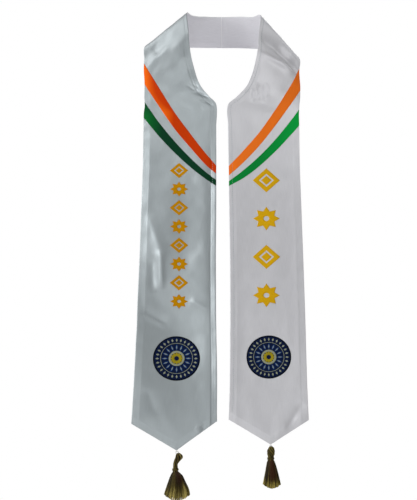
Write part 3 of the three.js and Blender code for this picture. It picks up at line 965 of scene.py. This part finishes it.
for name, band in BANDS.items():
    face = cloth_piece(band, f"satin_face_{name}", FACES[name], "face_satin", f"face_{name}")
    lining = cloth_piece(band, f"satin_lining_{name}", LININGS[name], "lining_satin", f"lining_{name}")
    on_face = [
        stripe(band, f"stripe_orange_{name}", STRIPES[name]["orange"], ORANGE[name], "orange_print"),
        stripe(band, f"stripe_green_{name}", STRIPES[name]["green"], GREEN[name], "green_print"),
        gold_marks(band, MARKS[name], GOLD[name]),
        *emblem(band, EMBLEMS[name]),
        topstitching(band),
    ]


# Tassels

def ring_of(curve, drops, angle, inset=0.0, share=1.0):
    """Points round a tassel at each drop, a share of the way out to its surface less an inset."""
    shift, wide, deep = np.moveaxis(curve(drops), -1, 0)
    wide = np.maximum(wide - inset, CORE_LEAST) * share
    deep = np.maximum(deep - inset, CORE_LEAST) * share
    return np.stack([shift + wide * np.cos(angle), deep * np.sin(angle), -drops], axis=-1)


def round_about(angle):
    return np.stack([-np.sin(angle), np.cos(angle), np.zeros_like(angle)], axis=-1)


def skirt(curve, table, neck, hem, random):
    """Strands in layers, their points and faces, and each point's shade and warmth."""
    counts, outs = zip(*SKIRT_LAYERS)
    layer = np.repeat(outs, counts)[:, None]
    angle = np.concatenate([np.arange(count) * 2 * math.pi / count for count in counts])[:, None]
    count = len(layer)
    jitter, ragged, wander, above_neck = 0.02, (-0.7, 0.3), 0.03, 4
    angle = angle + random.uniform(-jitter, jitter, (count, 1))
    steps, sides = 21, 6
    share = np.linspace(0, 1, steps)[None, :]
    arc = table["hem_arc"] * np.sin(angle) ** 2 * layer
    end = hem + arc + random.uniform(*ragged, (count, 1))
    start = neck - above_neck
    drops = start + (end - start) * share
    sway = np.sin(share * random.uniform(3, 7, (count, 1)) + random.uniform(0, 6, (count, 1)))
    turned = angle + wander * sway * share
    lock = angle * SKIRT_LOCKS / (2 * math.pi) + 0.2 * random.uniform(-1, 1, (count, 1))
    bulge = np.abs(np.sin(math.pi * lock))
    inset = SKIRT_THREAD + random.uniform(0, 0.35, (count, 1)) + SKIRT_GROOVE * (1 - bulge) * share
    paths = ring_of(curve, np.minimum(drops, hem), turned, inset, layer)
    paths[..., 2] = -drops
    turns = random.uniform(7, 11, count)
    points, faces = tubes(paths, SKIRT_THREAD, sides, round_about(turned), turns=turns, lobes=0.15)
    warm = table["warm"]
    off = (np.degrees(angle) - warm["from"] + 180) % 360 - 180
    fade = 1 - smooth_step(warm["down_to"] - 0.3, warm["down_to"], share)
    warmth = 0.85 * np.exp(-((off / warm["reach"]) ** 2)) * fade
    bright = smooth_step(table["bright_from"], 1, share)
    tone = random.normal(0, 0.14, SKIRT_LOCKS + 1)[np.floor(lock).astype(int) % SKIRT_LOCKS]
    # Shade: a random tone for each lock and strand, lighter towards the hem, a little darker where browner,
    # and painted highlight on the crowns of the locks with painted shade in the grooves between them.
    shade = 0.1 + 0.42 * bright + 0.16 * bulge + tone + random.normal(0, 0.12, (count, 1)) - 0.1 * warmth
    return points, faces, np.repeat(shade, sides, axis=1).ravel(), np.repeat(warmth, sides, axis=1).ravel()


def head(curve, table, top, neck, random):
    """Wraps of several threads each, wound over the knob, with grooves between them."""
    wraps, steps, sides = table["wraps"], 44, 8
    drops = np.linspace(top, neck + 1.5, steps)[None, :]
    ply = (np.arange(wraps * HEAD_PLIES)[:, None] + 0.5) / HEAD_PLIES
    bulge = np.sin(math.pi * (ply % 1))
    angle = 2 * math.pi * ply / wraps + math.radians(table["twist"]) * (drops - top) / (neck - top)
    drops = np.broadcast_to(drops, angle.shape)
    paths = ring_of(curve, drops, angle, HEAD_THREAD + WRAP_GROOVE * (1 - bulge))
    points, faces = tubes(paths, HEAD_THREAD, sides, round_about(angle), turns=9.0, lobes=0.18)
    # Painted highlight on the crowns of the wraps and painted shade in the grooves between them, with a
    # random tone for each thread.
    shade = 0.02 + 0.62 * bulge**3 + random.normal(0, 0.1, bulge.shape)
    return points, faces, np.repeat(shade, steps * sides, axis=1).ravel()


def core(curve, top, neck, hem):
    """The body under the threads, closed at both ends."""
    around, rings, above_top, below_neck = 20, 34, 0.5, 26
    drops = np.linspace(top - above_top, neck + below_neck, rings)[:, None]
    angle = np.arange(around)[None, :] * 2 * math.pi / around
    inset = CORE_INSET + CORE_TAPER * np.maximum(drops - neck, 0)
    drops = np.broadcast_to(drops, (len(drops), around))
    points = ring_of(curve, np.clip(drops, top, hem), angle, inset)
    points[..., 2] = -drops
    points = points.reshape(-1, 3)
    faces = grid_faces(len(drops), around, closed=True)
    faces += [tuple(range(around)), tuple(range(len(points) - 1, len(points) - around - 1, -1))]
    return points, outward_faces(points, faces)


def wound_binding(above, below):
    """Thread wound round the neck, its two ends tucked in."""
    tucked = 0.02  # share of the thread at either end that dips under
    turn = np.linspace(0, 1, 140)
    angle = turn * (BINDING_TURNS + 0.6) * 2 * math.pi
    out = GAP + BINDING_THREAD * np.where((turn < tucked) | (turn > 1 - tucked), 0.2, 1)
    radius = max(above[WIDE], above[DEEP]) + out
    height = -(above[DROP] + below[DROP]) / 2 + (0.5 - turn) * 2 * BINDING_THREAD * BINDING_TURNS
    path = np.stack([above[SHIFT] + radius * np.cos(angle), radius * np.sin(angle), height], axis=-1)
    return tubes(path[None], BINDING_THREAD, 8, np.array([0, 0, 1.0]), turns=34.0, lobes=0.15)


def twisted_loop(leant, top):
    """Two plies twisted round each other along an upright oval ring, tilted towards the head."""
    angle = np.linspace(0, 2 * math.pi, 96, endpoint=False)
    ring = LOOP_WIDTH / 2 - LOOP_CORD
    stretch = (top + LOOP_BITE - GAP - LOOP_WIDTH) / 2
    side = ring * np.cos(angle)
    level = ring * np.sin(angle) + stretch * np.tanh(np.sin(angle) * 4) - (GAP + stretch + LOOP_WIDTH / 2)
    tilt = math.atan2(leant[SHIFT], leant[DROP])
    cosine, sine = math.cos(tilt), math.sin(tilt)
    path = np.stack([side * cosine - level * sine, 0 * side, side * sine + level * cosine], axis=-1)
    return tubes(path[None], LOOP_CORD * 0.85, 10, np.array([0, 1.0, 0]), turns=6.0, lobes=0.2, closed=True)


def tassel(band, table, material):
    sections = np.array(table["sections"], float)
    curve = Curve(sections[:, DROP], sections[:, SHIFT:])
    top, neck, hem = sections[[0, NECK, -1], DROP]
    tip = band.cut(np.full(1, band.length), np.full(1, band.point["across"]))[0]
    random = np.random.default_rng(table["seed"])

    def hang(part, body, look, slot, node=None, **values):
        points, faces = body
        piece = new_piece(f"{part}_{band.name}", points + tip, faces, look, slot, **values)
        if node:
            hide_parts(f"{node}_{band.name}")

    *strands, shade, warmth = skirt(curve, table, neck, hem, random)
    hang("skirt", strands, material, "metallic_thread", shade=shade, warmth=warmth)
    *wraps, shade = head(curve, table, top, neck, random)
    hang("head", wraps, material, "metallic_thread", "tassel", shade=shade)
    hang("head_core", core(curve, top, neck, hem), METALLIC_CORE, "metallic_thread")
    binding = wound_binding(sections[NECK - 1], sections[NECK])
    shade = np.full(len(binding[0]), BINDING_SHADE)
    hang("wound_binding", binding, material, "metallic_thread", "tassel_binding", shade=shade)
    loop = twisted_loop(sections[HEAD_SECTION], top)
    shade = np.full(len(loop[0]), LOOP_SHADE)
    hang("twisted_loop", loop, CORD, "pale_cord", "tassel_loop", shade=shade)


for name, band in BANDS.items():
    tassel(band, TASSELS[name], METALLIC[name])


# Studio

FLOOR_HEIGHT = -1.4  # the shoulders of a wearer are this far above the floor
FLOOR_RADIUS = 2.8
FLOOR_SIDES = 96
FLOOR_GLOW = 0.1  # evens out the floor, as a lit backdrop would
AMBIENT = 0.2  # strength of the white surroundings on the sash
BACKDROP = 1.0  # their strength in the camera's view

floor_angles = np.linspace(0, 2 * math.pi, FLOOR_SIDES, endpoint=False)
floor_points = [(math.cos(a) * FLOOR_RADIUS, math.sin(a) * FLOOR_RADIUS, 0) for a in floor_angles]
floor_mesh = bpy.data.meshes.new("floor")
floor_mesh.from_pydata(floor_points, [], [tuple(range(FLOOR_SIDES))])
floor = bpy.data.objects.new("floor", floor_mesh)
floor.location = (0, 0, FLOOR_HEIGHT)
add_object(floor)
floor_look = Look("floor", Emission_Strength=FLOOR_GLOW)
floor_look.shader.inputs["Emission Color"].default_value = (1, 1, 1, 1)
floor_grain = floor_look.noise(floor_look.node("TexCoord").outputs["Object"], 30.0, 3.0)
floor_colour = floor_look.mixed(floor_grain, (0.86, 0.86, 0.86, 1), (0.9, 0.9, 0.9, 1))
floor_rough = floor_look.between(floor_grain, 0.7, 0.8)
floor_mesh.materials.append(floor_look.finish(floor_colour, floor_rough, floor_grain, 0.0005, 0.1))


# Soft lights: the name, the place, the width and height, and the power in watts
AIM = (0, -0.06, -0.35)
LIGHTS = (
    ("left_low", (-1.9, -1.5, -0.3), 1.0, 1.4, 17.4),
    ("left_front", (-1.6, -1.3, 0.35), 1.0, 1.0, 2.6),
    ("left_near", (-0.9, -0.9, 0.0), 0.4, 0.5, 1.9),
    ("left_side", (-2.0, -0.4, -0.1), 0.8, 1.0, 9),
    ("front_high", (-0.2, -1.7, 0.9), 1.0, 0.6, 4.5),
    ("front_low", (-0.2, -1.8, -1.1), 1.0, 0.5, 2.5),
    ("right_near", (0.8, -0.9, 0.1), 0.4, 0.5, 0.6),
    ("right_high", (1.0, -1.2, 0.8), 0.8, 0.8, 6.4),
    ("right_front", (1.6, -1.5, -0.2), 1.0, 1.2, 1.4),
    ("top_left", (-1.2, 0.3, 1.0), 0.7, 0.7, 6.2),
    ("top_right", (1.2, 0.3, 1.0), 0.7, 0.7, 3),
    ("back", (0.5, 2.4, 0.5), 1.6, 1.6, 22),
)


def area_light(name, place, width, height, power):
    data = bpy.data.lights.new(name, "AREA")
    data.shape, data.size, data.size_y = "RECTANGLE", width, height
    data.energy = power
    light = bpy.data.objects.new(name, data)
    light.location = place
    light.rotation_euler = direction_euler(np.subtract(AIM, place))
    light.visible_camera = False
    add_object(light)


def direction_euler(direction):
    """Rotation that points an object's -Z along a direction."""
    x, y, z = direction / np.linalg.norm(direction)
    return (math.acos(-z), 0, math.atan2(x, -y) + math.pi)


for light_values in LIGHTS:
    area_light(*light_values)

world = bpy.data.worlds.new("studio")
world.use_nodes = True
bpy.context.scene.world = world
tree = world.node_tree
background = tree.nodes["Background"]
background.inputs["Color"].default_value = (1, 1, 1, 1)
rays = tree.nodes.new("ShaderNodeLightPath")
level = tree.nodes.new("ShaderNodeMapRange")  # inputs 3 and 4 are its lowest and highest result
level.inputs[3].default_value = AMBIENT
level.inputs[4].default_value = BACKDROP
tree.links.new(rays.outputs["Is Camera Ray"], level.inputs[0])
tree.links.new(level.outputs["Result"], background.inputs["Strength"])
